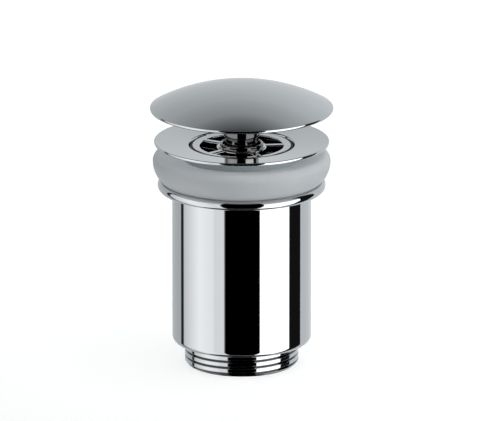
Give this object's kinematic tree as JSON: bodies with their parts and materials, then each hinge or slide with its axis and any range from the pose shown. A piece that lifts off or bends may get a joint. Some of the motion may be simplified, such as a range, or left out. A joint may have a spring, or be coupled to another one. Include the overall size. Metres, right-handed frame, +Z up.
{
  "type": "basin waste",
  "caption": "Chrome push-open basin waste: a domed plug on a sprung latch over a grid, in a dished flange and tube that screws into a beaded body with a pipe-threaded outlet.",
  "frame": {"origin": "on the axis, at the outlet's end face", "axes": "+Z up the axis from the outlet to the plug; +X to the right and +Y away in the picture's view"},
  "size_m": [0.0674, 0.0674, 0.106],
  "materials": {
    "chrome": "polished chrome plate",
    "plated_brass": "nickel-plated brass",
    "brass": "turned brass",
    "gasket_rubber": "satin moulded rubber",
    "seal_rubber": "black moulded rubber",
    "spring_steel": "bright drawn steel",
    "acetal": "white acetal"
  },
  "bodies": {
    "waste": {"lower_body": "chrome", "tube_ring": "seal_rubber", "basin_gasket": "gasket_rubber", "upper_body": "chrome", "grid_insert": "chrome", "cartridge_barrel": "plated_brass", "thrust_washer": "spring_steel", "end_bush": "acetal", "snap_ring": "spring_steel", "return_spring": "spring_steel"},
    "plug": {"cap": "chrome", "cap_seal": "seal_rubber", "cap_stud": "brass", "plunger": "plated_brass", "plunger_ring": "seal_rubber"},
    "follower": {"follower_ring": "acetal", "follower_pins": "spring_steel"}
  },
  "joints": [
    {"name": "plug_press", "type": "slide", "parent": "waste", "child": "plug", "axis": [0, 0, 1], "range_m": [-0.0095, 0], "stiffness_N_per_m": 830, "springref_m": 0.007, "deforming": ["return_spring"]},
    {"name": "follower_turn", "type": "hinge", "parent": "waste", "child": "follower", "pos_m": [0, 0, 0.0479], "axis": [0, 0, 1], "range_deg": [0, 53]}
  ],
  "couplings": [
    {"joint": "follower_turn", "follows": "plug_press", "rad_per_m": -95.2}
  ]
}
